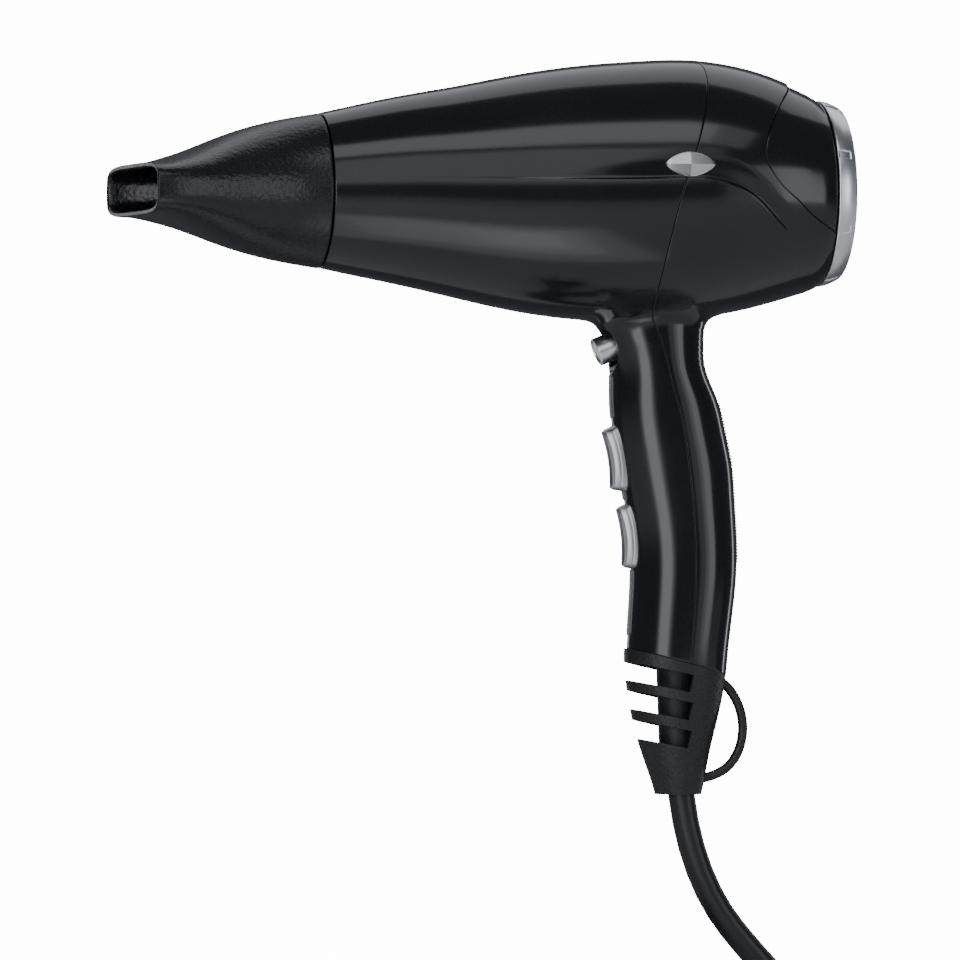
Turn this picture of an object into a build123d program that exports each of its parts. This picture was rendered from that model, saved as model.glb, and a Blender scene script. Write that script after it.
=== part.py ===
from build123d import *
import math
import os

# Hair dryer, in mm. X runs along the barrel (nozzle at -X), Z is up, Y is across.
# Every piece is modelled with the barrel axis at z = 0, then lifted by grip_drop,
# so that the origin lies in the middle of the grip.

grip_drop = 88.0            # barrel axis above the middle of the grip
wall = 2.4                  # housing wall

# barrel stations: x, top z, bottom z
barrel_front = -105.7
barrel_rear = 44.0
barrel_stations = [
    (-105.7, 22.8, -22.6),
    (-94.0, 25.4, -25.0),
    (-82.0, 27.9, -27.4),
    (-66.7, 30.6, -30.8),
    (-47.0, 34.4, -35.0),
    (-28.0, 37.2, -37.4),
    (-10.0, 38.7, -37.9),
    (5.0, 39.1, -37.1),
    (18.4, 37.5, -35.1),
    (31.1, 33.9, -32.0),
    (38.0, 31.0, -30.0),
    (41.5, 29.3, -28.8),
    (44.0, 27.7, -27.5),
]
outlet_bore = 20.4          # front bore that takes the nozzle
inlet_bore = 24.6           # rear bore that takes the filter frame

# handle stations: z, centre x, half depth along X, half width along Y
neck_stations = [
    (-30.0, -7.0, 27.0, 21.0),
    (-36.0, -6.8, 22.0, 17.6),
    (-40.0, -5.6, 16.6, 14.8),
    (-44.0, -5.2, 15.0, 14.0),
]
handle_stations = [
    (-44.0, -5.2, 15.0, 14.0),
    (-52.0, -3.9, 14.3, 13.9),
    (-60.0, -2.2, 15.8, 13.9),
    (-70.0, -0.5, 16.7, 14.0),
    (-80.0, 1.3, 16.9, 14.0),
    (-90.0, 2.6, 16.4, 14.0),
    (-100.0, 3.7, 15.9, 14.0),
    (-112.0, 4.0, 15.7, 14.0),
    (-124.0, 3.1, 15.4, 13.9),
    (-134.0, 2.2, 15.1, 13.8),
    (-144.0, 1.5, 14.9, 13.5),
]
foot_slant = 15.0           # the foot of the handle is cut on a slope
foot_z = -137.5             # height of that cut at x = 0

# parting line between the two housings: x, z
seam_points = [
    (7.0, 42.0), (6.6, 36.0), (4.8, 29.0), (2.3, 21.5), (-1.0, 12.0), (-4.5, 2.9),
    (-7.5, -8.2), (-9.6, -23.0), (-9.8, -31.0), (-8.4, -38.0), (-6.6, -42.0),
    (-4.7, -48.0), (-2.9, -55.3), (0.2, -66.0), (2.2, -79.0), (3.2, -87.0),
    (4.0, -98.0), (4.3, -112.0), (4.0, -123.0), (3.4, -134.0), (2.8, -146.0),
]
# edge of the rear cap: x, z
cap_points = [
    (34.4, 38.0), (34.1, 32.6), (29.5, 28.0), (25.1, 23.0), (21.2, 15.5), (20.3, 10.5),
    (22.4, 5.0), (26.0, 0.8), (30.2, -2.6), (36.0, -7.5), (42.6, -11.5), (46.0, -13.4),
]
cap_step = 0.7              # the cap lies this far below the housing skin

channel_depth = 1.3
badge_x = -3.1
badge_z = 7.5
badge_long = 15.4
badge_high = 7.2

# nozzle stations: x, half width, half height, roundness exponent
nozzle_stations = [
    (-106.0, 22.7, 22.7, 2.0),
    (-113.5, 23.6, 21.5, 2.05),
    (-124.0, 26.6, 19.3, 2.2),
    (-134.9, 30.6, 15.8, 2.5),
    (-145.8, 35.0, 11.3, 3.0),
    (-152.0, 37.2, 9.2, 3.6),
    (-156.7, 38.4, 8.0, 4.2),
    (-161.3, 39.0, 7.6, 4.8),
]
nozzle_wall = 1.5

# duct, fan and motor
duct_outer = 31.0
duct_inner = 29.4
fan_radius = 28.6
hub_outer = 15.6
motor_radius = 14.0
shaft_radius = 1.6
heater_radius = 18.3
sleeve_outer = 22.5

# rockers: pivot x, pivot z, lean of the handle front in degrees
speed_pivot = (-9.0, -77.0)
heat_pivot = (-5.0, -100.2)
speed_lean = -9.0
heat_lean = -6.0
rocker_radius = 11.8
rocker_half = 10.2            # half length of a rocker inside the handle
rocker_face = 8.8
rocker_width = 9.6
rocker_finger = 5.0

# cold shot button
shot_face = (-22.4, -47.0)
shot_tilt = 22.0
shot_radius = 4.2

# mains cord
cord_radius = 3.95
cord_x = 2.4
boot_end = -176.8
coil_ring = 45.0            # middle radius of the coil
coil_bundle = 11.5          # radius of the bundle of turns
lead_bends = [45.0, 43.0, 33.5]   # bend radii of the free cord
coil_inlet = 40.0           # straight cord before and after the coil
coil_tail = 41.0
rest_z = -250.5             # height of the coil's middle
plug_pin_radius = 2.4
plug_pin_length = 19.0
plug_pin_pitch = 19.0


def save(shape, name):
    solids = [solid.moved(Location((0, 0, grip_drop))) for solid in shape.solids()]
    body = solids[0] if len(solids) == 1 else Compound(children=solids)
    export_step(body, "parts/" + name + ".step")


def x_cylinder(radius, x_low, x_high, y=0.0, z=0.0):
    middle = Pos((x_low + x_high) / 2, y, z)
    return middle * Rot(0, 90, 0) * Cylinder(radius, x_high - x_low)


def x_tube(outer, inner, x_low, x_high):
    return x_cylinder(outer, x_low, x_high) - x_cylinder(inner, x_low - 1, x_high + 1)


def block(x_low, x_high, y_low, y_high, z_low, z_high):
    middle = Pos((x_low + x_high) / 2, (y_low + y_high) / 2, (z_low + z_high) / 2)
    return middle * Box(x_high - x_low, y_high - y_low, z_high - z_low)


def between(table, key, column):
    for low, high in zip(table, table[1:]):
        if min(low[0], high[0]) <= key <= max(low[0], high[0]):
            share = (key - low[0]) / (high[0] - low[0])
            return low[column] + share * (high[column] - low[column])
    raise ValueError("outside the table")


def barrel(inset, x_low, x_high):
    """The barrel's skin moved inward by inset, from x_low to x_high."""
    keys = [row[0] for row in barrel_stations if x_low < row[0] < x_high]
    rings = []
    for x in [x_low] + keys + [x_high]:
        top = between(barrel_stations, x, 1)
        low = between(barrel_stations, x, 2)
        place = Plane(origin=(x, 0, (top + low) / 2), x_dir=(0, 1, 0), z_dir=(1, 0, 0))
        rings.append(place * Circle((top - low) / 2 - inset))
    return loft(rings)


def grip(inset, stations):
    """A length of the handle, moved inward by inset."""
    rings = []
    for z, centre, depth, width in stations:
        rings.append(Pos(centre, 0, z) * Ellipse(depth - inset, width - inset))
    return loft(rings)


def below_foot():
    """Everything under the slanted cut at the foot of the handle."""
    return Pos(0, 0, foot_z) * Rot(0, foot_slant, 0) * Pos(0, 0, -60) * Box(160, 160, 120)


def outer_form(inset=0.0):
    body = barrel(inset, barrel_front, barrel_rear)
    body = body + grip(inset, neck_stations) + grip(inset, handle_stations)
    return body


def inner_form():
    hollow = barrel(wall, -94.0, 41.5)
    hollow = hollow + grip(wall, neck_stations) + grip(wall, handle_stations)
    return hollow


def half_space(points, far_x):
    """Extruded region between a line of points in the XZ plane and x = far_x."""
    first = points[0]
    last = points[-1]
    edge = Spline(*[(x, z) for x, z in points])
    rest = Polyline((last[0], last[1]), (far_x, last[1]), (far_x, first[1]), (first[0], first[1]))
    return extrude(Plane.XZ * make_face([edge, rest]), 70, both=True)


def channel_cut():
    """Shallow side channels that run back from the middle of the barrel."""
    ring = barrel(-1.0, -60, 30) - barrel(channel_depth, -60, 30)
    outline = Plane.XZ * make_face(Polyline(
        (-46, 3.0), (12, 3.0), (22, -1.0), (24, 3.0), (18, 9.0), (10, 11.6), (-14, 11.6), (-46, 3.0)))
    return ring & extrude(outline, 70, both=True)


def badge_outline():
    half = badge_long / 2
    rise = badge_high / 2
    upper = ThreePointArc((-half, 0), (0, rise), (half, 0))
    lower = ThreePointArc((half, 0), (0, -rise), (-half, 0))
    return make_face([upper, lower])


def badge_prism():
    place = Plane.XZ * Pos(badge_x, badge_z) * badge_outline()
    return extrude(place, 70, both=True)


def badges():
    layer = barrel(0.1, -60, 30) - barrel(channel_depth, -60, 30)
    return layer & badge_prism()


def rocker_place(pivot, lean):
    """Local frame at a rocker's pivot: -X points out of the handle."""
    return Pos(pivot[0], 0, pivot[1]) * Rot(0, lean, 0)


def rocker(pivot, lean):
    disc = Rot(90, 0, 0) * Cylinder(rocker_radius, rocker_width)
    disc = disc & block(-rocker_face, -1.5, -20, 20, -rocker_half, rocker_half)
    disc = disc + Rot(90, 0, 0) * Cylinder(3.0, rocker_width)
    hollow = Pos(-rocker_face - 28.9, 0, 0) * Rot(90, 0, 0) * Cylinder(29.6, 40)
    pins = Rot(90, 0, 0) * Cylinder(1.2, rocker_width + 2.2)
    body = disc - hollow + pins
    body = rocker_place(pivot, lean) * body
    finger = block(pivot[0], pivot[0] + rocker_finger, -1.6, 1.6, pivot[1] - 1, pivot[1] + 1)
    return body + finger


def rocker_window(pivot, lean):
    width = rocker_width + 0.7
    disc = Rot(90, 0, 0) * Cylinder(rocker_radius + 0.3, width)
    swept = disc & block(-20, 2, -width, width, -rocker_half - 1, rocker_half + 1)
    return rocker_place(pivot, lean) * swept


def slider(pivot):
    x_low = pivot[0] + 3.6
    body = block(x_low, pivot[0] + 5.6, -3, 3, pivot[1] - 3.5, pivot[1] + 3.5)
    slot = block(x_low - 1, pivot[0] + 5.2, -2, 2, pivot[1] - 1.3, pivot[1] + 1.3)
    return body - slot


def switch_body(pivot):
    x_low = pivot[0] + 5.7
    return block(x_low, x_low + 8.5, -5.1, 5.1, pivot[1] - 8.5, pivot[1] + 8.5)


def switch_carrier():
    """Two cheeks that hold both rockers' pins and both switches."""
    outline = Plane.XZ * make_face(Polyline(
        (-11.2, -66.5), (4.0, -66.5), (7.2, -112.0), (-6.9, -112.0), (-7.4, -100.0),
        (-8.9, -90.0), (-11.0, -79.0), (-11.2, -66.5)))
    cheek = extrude(outline, 6.1, both=True) - extrude(outline, 5.1, both=True)
    for pivot in (speed_pivot, heat_pivot):
        hole = Pos(pivot[0], 0, pivot[1]) * Rot(90, 0, 0) * Cylinder(1.26, 30)
        cheek = cheek - hole
    tie = block(2.0, 4.6, -5.1, 5.1, -89.9, -87.4)
    return cheek + tie


def shot_place(along=0.0):
    """Local frame on the cold shot axis: +X points into the handle."""
    return Pos(shot_face[0], 0, shot_face[1]) * Rot(0, -shot_tilt, 0) * Pos(along, 0, 0)


def shot_button():
    body = x_cylinder(shot_radius, 0, 8.6) + x_cylinder(5.2, 7.6, 8.6)
    body = body + x_cylinder(2.0, 8.6, 12.6)
    dish = x_cylinder(shot_radius - 0.8, -1, 0.5)
    return shot_place() * (body - dish)


def shot_spring():
    coil = Helix(1.45, 5.8, 3.0, center=(8.95, 0, 0), direction=(1, 0, 0))
    profile = Plane(origin=coil @ 0, z_dir=coil % 0) * Circle(0.3)
    return shot_place() * sweep(profile, path=coil, is_frenet=True)


def shot_switch():
    return shot_place() * Pos(18.4, 0, 0) * Box(6.4, 10, 7)


def grip_layer(points, y_half):
    """Outer layer of the handle inside an outline."""
    return extrude(Plane.XZ * make_face(Polyline(*points)), y_half, both=True)


insert_outline = [(8.6, -58.5), (40, -58.5), (40, -109.0), (14.2, -109.0), (13.4, -84.0), (8.6, -58.5)]
panel_outline = [(-40, -56.0), (-6, -56.0), (-2, -80.0), (0.0, -130.0), (-40, -130.0), (-40, -56.0)]


def grip_insert_tool(inset):
    return grip_layer(insert_outline, 40) - grip(inset, handle_stations)


def panel_tool(inset):
    return grip_layer(panel_outline, 4.2) - grip(inset, handle_stations)


def cord_bore():
    return Pos(cord_x, 0, -150) * Cylinder(4.0, 80)


def boot_stations(inset):
    rows = [
        (-128.0, 2.8, 15.3, 13.85),
        (-142.0, 1.5, 14.9, 13.5),
        (-152.0, 1.4, 13.3, 12.0),
        (-161.0, 1.4, 11.1, 10.2),
        (-169.0, 1.9, 8.9, 8.6),
        (boot_end, 2.35, 6.9, 6.9),
    ]
    return [(z, c, a - inset, b - inset) for z, c, a, b in rows]


def relief_core():
    body = Pos(cord_x, 0, -156.4) * Cone(5.2, 6.6, 40.8)
    flange = Pos(cord_x, 0, -135.0) * Cylinder(9.2, 2.4)
    return body + flange - cord_bore()


def boot_slots():
    cuts = []
    for z in (-144.1, -152.3, -160.6):
        slot = Pos(3.4, 0, z) * Rot(0, 12, 0) * Pos(-15, 0, 0) * Box(30, 60, 5.2)
        cuts.append(slot)
    return cuts


def boot():
    outer = grip(0, boot_stations(0)) & below_foot()
    rows = [row for row in boot_stations(2.4) if row[0] > -170]
    cavity = grip(0, rows)
    body = outer - cavity
    for slot in boot_slots():
        body = body - slot
    hollow = grip(wall + 1.6, handle_stations)
    collar = (grip(wall, handle_stations) - hollow) & block(-40, 40, -40, 40, -144, -133)
    rim = grip(0.6, boot_stations(0)) - hollow
    rim = rim & (Pos(0, 0, foot_z) * Rot(0, foot_slant, 0) * Pos(0, 0, -1.0) * Box(160, 160, 2))
    body = body + rim + (collar - below_foot())
    core = Pos(cord_x, 0, -156.4) * Cone(5.2, 6.6, 40.8)
    return body - core


def loop():
    route = Spline(
        (9.0, 0, -141.0), (16.5, 0, -144.6), (20.6, 0, -150.5), (22.0, 0, -157.4),
        (20.8, 0, -163.8), (17.4, 0, -168.8), (12.0, 0, -171.6), (4.0, 0, -173.0))
    profile = Plane(origin=route @ 0, z_dir=route % 0) * Circle(1.5)
    bar = sweep(profile, path=route)
    bar = bar - grip(0, boot_stations(0)) - grip(0, handle_stations)
    pieces = sorted(bar.solids(), key=lambda s: s.volume)
    return pieces[-1]


def nozzle_ring(x, half_w, half_h, power):
    points = []
    count = 48
    for i in range(count):
        angle = 2 * math.pi * i / count
        c = math.cos(angle)
        s = math.sin(angle)
        y = half_w * math.copysign(abs(c) ** (2 / power), c)
        z = half_h * math.copysign(abs(s) ** (2 / power), s)
        points.append((x, y, z))
    return make_face(Spline(*points, periodic=True))


def nozzle():
    outer = loft([nozzle_ring(*row) for row in nozzle_stations])
    rows = [(x, w - nozzle_wall, h - nozzle_wall, p) for x, w, h, p in nozzle_stations]
    rows[0] = (-107.8,) + rows[0][1:]
    rows[-1] = (-162.0,) + rows[-1][1:]
    inner = loft([nozzle_ring(*row) for row in rows])
    body = outer - inner
    back = x_cylinder(22.0, -108.2, -106.0) & outer
    spigot = x_cylinder(18.55, -106.5, -95.5)
    body = body + back + spigot - x_cylinder(17.2, -109, -90)
    return body


def snap_ring():
    ring = x_tube(20.32, 18.62, -105.0, -96.2)
    return ring - block(-101, -96, -23, 23, -0.8, 0.8)


def outlet_grille():
    body = x_tube(22.4, 20.6, -94.0, -91.0)
    for radius in (5.0, 10.0, 15.0):
        body = body + x_tube(radius + 0.6, radius - 0.6, -93.6, -91.4)
    body = body + x_cylinder(1.8, -93.6, -91.4)
    for angle in (0, 60, 120):
        body = body + Rot(angle, 0, 0) * block(-93.6, -91.4, -21.2, 21.2, -0.6, 0.6)
    return body


def heater_windings():
    coil = Helix(6.2, 43.4, heater_radius, center=(-86.5, 0, 0), direction=(1, 0, 0))
    profile = Plane(origin=coil @ 0, z_dir=coil % 0) * Circle(0.9)
    return sweep(profile, path=coil, is_frenet=True)


def mica_boards():
    upright = block(-90.6, -30.0, -0.4, 0.4, -18.5, 18.5)
    level = block(-90.6, -30.0, -18.5, 18.5, -0.4, 0.4)
    return upright + level - heater_windings()


def mica_sleeve():
    body = x_tube(sleeve_outer, sleeve_outer - 0.6, -91.0, -34.0)
    for y in (-3, 3):
        body = body - Pos(-42, y, -22) * Cylinder(1.6, 8)
    return body


def fan_duct():
    shell = x_tube(duct_outer, duct_inner, -24.0, 21.0)
    outline = Plane.XZ * make_face(Polyline(
        (-24, duct_inner), (-24, duct_outer), (-33, 24.4), (-38, 24.4), (-38, 22.5),
        (-34, 22.5), (-34, 21.9), (-33.4, 21.9), (-24, duct_inner)))
    cone = revolve(outline, Axis.X)
    hub = x_tube(hub_outer, motor_radius, -30.0, 10.0)
    body = shell + cone + hub
    for i in range(7):
        vane = Pos(-10, 0, (duct_inner + hub_outer) / 2) * Rot(0, 0, 24)
        blade = vane * Box(16, 1.4, duct_inner - hub_outer + 1.2)
        body = body + Rot(i * 360 / 7, 0, 0) * blade
    return body


def motor_can():
    body = x_tube(motor_radius, 13.0, -22.0, 8.8) + x_cylinder(motor_radius, 8.8, 10.0)
    return body - x_cylinder(shaft_radius + 0.06, 0, 20)


def motor_end_cap():
    body = x_cylinder(motor_radius, -24.0, -22.0) + x_tube(4.0, 1.5, -22.0, -19.6)
    return body - x_cylinder(shaft_radius + 0.06, -23.0, 0)


def motor_magnets():
    ring = x_tube(13.0, 10.4, -15.0, 6.0)
    return ring - block(-30, 20, -20, 20, -2.5, 2.5)


def motor_armature():
    body = x_cylinder(9.8, -13.0, 4.0)
    for i in range(3):
        slot = Rot(i * 120, 0, 0) * block(-14, 5, -1.0, 1.0, 5.5, 11)
        body = body - slot
    body = body + x_cylinder(4.4, -18.4, -13.0)
    return body - x_cylinder(shaft_radius, -30, 30)


def fan_impeller():
    body = x_cylinder(8.5, 11.2, 20.5) - x_cylinder(6.5, 10, 14.0)
    for i in range(9):
        blade = Pos(15.8, 0, 18.5) * Rot(0, 0, -38) * Box(11.0, 1.3, 22)
        body = body + Rot(i * 40, 0, 0) * blade
    body = body & x_cylinder(fan_radius, 10, 22)
    return body - x_cylinder(shaft_radius, 0, 18.6)


def rectifier():
    board = x_tube(12.5, 2.4, -25.2, -24.0)
    for angle in (20, 110, 200, 290):
        diode = Rot(angle, 0, 0) * Pos(-26.4, 0, 8.0) * Rot(90, 0, 0) * Cylinder(1.3, 5)
        board = board + diode
    return board


def filter_frame():
    body = x_tube(24.5, 22.6, 36.0, 46.0)
    for angle in (0, 60, 120):
        body = body + Rot(angle, 0, 0) * block(36.0, 37.6, -23.4, 23.4, -0.9, 0.9)
    return body


def filter_mesh():
    disc = Circle(22.6)
    for spot in HexLocations(1.5, 15, 15):
        if spot.position.length < 20.6:
            disc = disc - spot * RegularPolygon(1.15, 6)
    face = Plane(origin=(37.6, 0, 0), x_dir=(0, 1, 0), z_dir=(1, 0, 0)) * disc
    return extrude(face, 0.5)


def inlet_ring():
    outline = Plane.XZ * make_face(Polyline(
        (44.3, 24.65), (44.3, 27.5), (45.2, 27.6), (49.6, 25.9), (50.4, 25.0), (50.4, 22.6),
        (47.2, 22.6), (47.2, 24.65), (44.3, 24.65)))
    body = revolve(outline, Axis.X)
    for i in range(12):
        notch = Rot(i * 30 + 15, 0, 0) * Pos(48.2, 0, 26.9) * Box(2.6, 2.4, 1.6)
        body = body - notch
    return body


def inlet_grille():
    body = x_tube(24.65, 20.9, 46.3, 47.2)
    for radius in (4.5, 8.5, 12.5, 16.5, 20.5):
        body = body + x_tube(radius + 0.6, radius - 0.6, 46.3, 48.6)
    body = body + x_cylinder(1.6, 46.3, 48.6)
    for angle in (0, 45, 90, 135):
        body = body + Rot(angle, 0, 0) * block(46.3, 48.4, -22.0, 22.0, -0.7, 0.7)
    return body


def bulkheads():
    """Rings that carry the duct, notched at the bottom for the wires."""
    rings = []
    for x_low, x_high in ((-18.0, -15.6), (13.0, 15.4)):
        ring = barrel(1.0, x_low, x_high) - x_cylinder(duct_outer, x_low - 1, x_high + 1)
        rings.append(ring - block(x_low - 1, x_high + 1, -13, 13, -60, -30))
    return rings


def front_ribs(outer):
    """Posts and shelves that grow from inside the front housing."""
    shelf = block(-12, 2.0, -13.6, 13.6, -42.5, -40.0) & outer
    posts = []
    for y in (-6.8, 6.8):
        posts.append(x_cylinder(2.7, -14.0, 6.35, y, -129.5) & outer)
    screw_post = x_cylinder(2.8, -18.0, -2.4, 0, -62.4) & outer
    foot = block(-14, 0, -13.6, 13.6, -114.4, -112.0) & outer
    return [shelf, screw_post, foot] + posts


def clamp():
    body = block(6.35, 9.35, -9.3, 9.3, -132.5, -126.5)
    for y in (-6.8, 6.8):
        body = body - x_cylinder(1.25, 0, 20, y, -129.5)
    return body


def clamp_screws():
    body = None
    for y in (-6.8, 6.8):
        screw = x_cylinder(1.25, -4.0, 9.35, y, -129.5) + x_cylinder(2.0, 9.35, 10.55, y, -129.5)
        screw = screw - block(10.0, 12, y - 1.5, y + 1.5, -129.8, -129.2)
        body = screw if body is None else body + screw
    return body


def housing_screw():
    screw = x_cylinder(1.5, -12.0, 8.0, 0, -62.4) + x_cylinder(2.9, 8.0, 10.2, 0, -62.4)
    return screw - block(9.4, 12, -2, 2, -62.8, -62.0) - block(9.4, 12, -0.4, 0.4, -64.4, -60.4)


def wires():
    body = None
    for y in (-3, 3):
        route = FilletPolyline(
            (10.8, y, -124.0), (10.8, y, -72.0), (4.0, y * 2.2, -59.0), (2.5, y * 2.2, -50.0),
            (3.9, y * 1.85, -41.0), (-1.4, y * 1.2, -33.8), (-28.0, y, -33.6), (-42.0, y, -29.0),
            (-42.0, y, -18.5), radius=3.0)
        profile = Plane(origin=route @ 0, z_dir=route % 0) * Circle(1.0)
        wire = sweep(profile, path=route)
        body = wire if body is None else body + wire
    return body


def cord_entry():
    return Pos(cord_x, 0, -142) * Cylinder(cord_radius, 36)


def lead_points():
    slope = math.radians(40)
    start = (cord_x, 0, -160.0)
    turn = (cord_x, 0, -197.0)
    low = (cord_x + 52 * math.sin(slope), 0, -197.0 - 52 * math.cos(slope))
    land = (low[0] + 27.0, 22.5, rest_z)
    end = (land[0], land[1] + 20.0, rest_z)
    return [start, turn, low, land, end]


def cord_lead():
    points = lead_points()
    route = FilletPolyline(*points, radius=lead_bends)
    profile = Plane(origin=points[0], z_dir=(0, 0, -1)) * Circle(cord_radius)
    tube = sweep(profile, path=route)
    section = math.pi * cord_radius ** 2 * route.length
    print("cord radii", lead_bends)
    print("cord length", round(route.length, 1), "volume ratio", round(tube.volume / section, 4))
    return tube


def coil_place():
    end = lead_points()[-1]
    return (end[0] - coil_ring, end[1] + coil_inlet, rest_z)


def cord_coil():
    x, y, z = coil_place()
    ring = Pos(x, y, z) * Torus(coil_ring, coil_bundle)
    inlet = Pos(x + coil_ring, y, z) * y_rod(cord_radius, coil_inlet)
    tail = Pos(x - coil_ring, y, z) * y_rod(cord_radius, coil_tail)
    return ring + inlet + tail


def plug_spot(along=0.0):
    x, y, z = coil_place()
    return Pos(x - coil_ring, y - coil_tail - along, z)


def y_rod(radius, length):
    return Pos(0, -length / 2, 0) * Rot(90, 0, 0) * Cylinder(radius, length)


def plug_relief():
    body = Pos(0, -11, 0) * Rot(90, 0, 0) * Cone(4.9, 6.6, 22)
    for along in (5, 9, 13, 17):
        groove = Pos(0, -along, 0) * Rot(90, 0, 0) * (Cylinder(8, 1.6) - Cylinder(4.6, 1.6))
        body = body - groove
    return plug_spot() * body


def plug_body():
    rows = [(0, 13.6, 13.6), (10, 19.0, 16.5), (22, 27.0, 20.5), (34, 35.0, 22.8), (42, 35.5, 23.0)]
    rings = []
    for along, wide, high in rows:
        place = Plane(origin=(0, -along, 0), x_dir=(1, 0, 0), z_dir=(0, -1, 0))
        rings.append(place * RectangleRounded(wide, high, 0.45 * high))
    return plug_spot(22) * loft(rings, ruled=True)


def plug_pins():
    body = None
    for x in (-plug_pin_pitch / 2, plug_pin_pitch / 2):
        pin = Pos(x, 0, 0) * y_rod(plug_pin_radius, plug_pin_length)
        body = pin if body is None else body + pin
    ends = body.edges().filter_by_position(Axis.Y, -plug_pin_length - 0.1, -plug_pin_length + 0.1)
    return plug_spot(64) * fillet(ends, 1.1)


def main():
    os.makedirs("parts", exist_ok=True)
    outer = outer_form()
    inner = inner_form()
    foot = below_foot()
    front_side = half_space(seam_points, -130)
    cap_side = half_space(cap_points, 60)
    windows = rocker_window(speed_pivot, speed_lean) + rocker_window(heat_pivot, heat_lean)
    shot_hole = shot_place() * x_cylinder(shot_radius + 0.2, -6, 11)

    skin = outer - inner - foot
    skin = skin - x_cylinder(outlet_bore, -110, -93) - x_cylinder(inlet_bore, 40, 50)
    skin = skin - channel_cut()

    panel = (skin & panel_tool(1.4)) - windows
    insert = skin & grip_insert_tool(1.3)
    lens = badges()

    front = skin & front_side
    rear = skin - front_side - cap_side
    for rib in front_ribs(outer):
        front = front + (rib - rear)
    front_ring, rear_ring = bulkheads()
    front = front + front_ring
    front = front - panel_tool(1.4) - windows - shot_hole
    front = front - shot_place() * x_cylinder(5.7, 6.9, 15.1)
    front = front - shot_switch()
    for y in (-6.8, 6.8):
        front = front - x_cylinder(1.25, -4.0, 20, y, -129.5)
    front = front - x_cylinder(1.5, -12.0, 20, 0, -62.4)

    rear_post = x_cylinder(4.0, -2.4, 12.5, 0, -62.4) & outer
    rear = rear + rear_post + (rear_ring - cap_side)
    rear = rear - grip_insert_tool(1.3)
    rear = rear - x_cylinder(1.5, -12, 20, 0, -62.4) - x_cylinder(2.9, 8.0, 20, 0, -62.4)
    rear = rear - x_cylinder(2.8, -18.0, -2.4, 0, -62.4)

    cap = (outer_form(cap_step) - inner - x_cylinder(inlet_bore, 40, 50)) & cap_side
    cap = cap + (rear_ring & cap_side)

    save(front, "front_housing")
    save(rear, "rear_housing")
    save(cap, "rear_cap")
    save(panel, "switch_panel")
    save(insert, "grip_insert")
    save(lens, "side_badges")
    save(rocker(speed_pivot, speed_lean), "speed_rocker")
    save(rocker(heat_pivot, heat_lean), "heat_rocker")
    save(slider(speed_pivot), "speed_slider")
    save(slider(heat_pivot), "heat_slider")
    save(switch_body(speed_pivot), "speed_switch")
    save(switch_body(heat_pivot), "heat_switch")
    save(switch_carrier(), "switch_carrier")
    save(shot_button(), "cold_shot_button")
    save(shot_spring(), "cold_shot_spring")
    save(shot_switch(), "cold_shot_switch")
    save(housing_screw(), "housing_screw")
    save(clamp(), "cord_clamp")
    save(clamp_screws(), "clamp_screws")
    save(cord_entry(), "cord_entry")
    save(wires(), "power_wires")
    save(relief_core(), "strain_relief")
    save(boot(), "cord_boot")
    save(loop(), "hanging_loop")
    save(nozzle(), "nozzle_shell")
    save(snap_ring(), "nozzle_snap_ring")
    save(outlet_grille(), "outlet_grille")
    save(mica_sleeve(), "mica_sleeve")
    save(mica_boards(), "mica_boards")
    save(heater_windings(), "heater_windings")
    save(block(-81, -69, 0.4, 3.6, 3.0, 9.0), "thermostat")
    save(x_cylinder(1.6, -66, -54, -2.0, 8.0), "thermal_fuse")
    save(fan_duct(), "fan_duct")
    save(motor_can(), "motor_can")
    save(motor_end_cap(), "motor_end_cap")
    save(motor_magnets(), "motor_magnets")
    save(motor_armature(), "motor_armature")
    save(x_cylinder(shaft_radius, -22.9, 18.6), "motor_shaft")
    save(fan_impeller(), "fan_impeller")
    save(rectifier(), "rectifier_board")
    save(filter_frame(), "filter_frame")
    save(filter_mesh(), "filter_mesh")
    save(inlet_ring(), "inlet_ring")
    save(inlet_grille(), "inlet_grille")
    save(cord_lead(), "cord_lead")
    save(cord_coil(), "cord_coil")
    save(plug_relief(), "plug_relief")
    save(plug_body(), "plug_body")
    save(plug_pins(), "plug_pins")


main()
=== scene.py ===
import bpy
import bmesh
import math
import numpy as np
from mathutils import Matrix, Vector


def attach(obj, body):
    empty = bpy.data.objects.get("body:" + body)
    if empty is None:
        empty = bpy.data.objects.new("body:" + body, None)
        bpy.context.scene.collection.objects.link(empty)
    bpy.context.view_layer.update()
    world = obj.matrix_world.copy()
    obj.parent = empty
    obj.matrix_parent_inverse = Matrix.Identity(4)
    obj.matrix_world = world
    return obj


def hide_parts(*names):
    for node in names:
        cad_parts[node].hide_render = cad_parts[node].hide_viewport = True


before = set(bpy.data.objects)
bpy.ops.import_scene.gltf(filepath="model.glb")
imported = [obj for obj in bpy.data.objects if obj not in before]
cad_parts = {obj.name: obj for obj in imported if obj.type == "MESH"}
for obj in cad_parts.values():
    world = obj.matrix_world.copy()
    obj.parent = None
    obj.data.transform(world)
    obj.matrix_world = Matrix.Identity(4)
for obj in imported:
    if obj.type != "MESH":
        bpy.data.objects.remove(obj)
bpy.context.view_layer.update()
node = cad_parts

GLOW = 14.0          # emission of the white wall and far floor
LIFT = 88.0          # barrel axis above the origin, mm
MM = 0.001


def row(x, y, z):
    """Design millimetres (barrel axis at z = 0) to metres in the CAD frame."""
    return (x * MM, y * MM, (z + LIFT) * MM)


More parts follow.
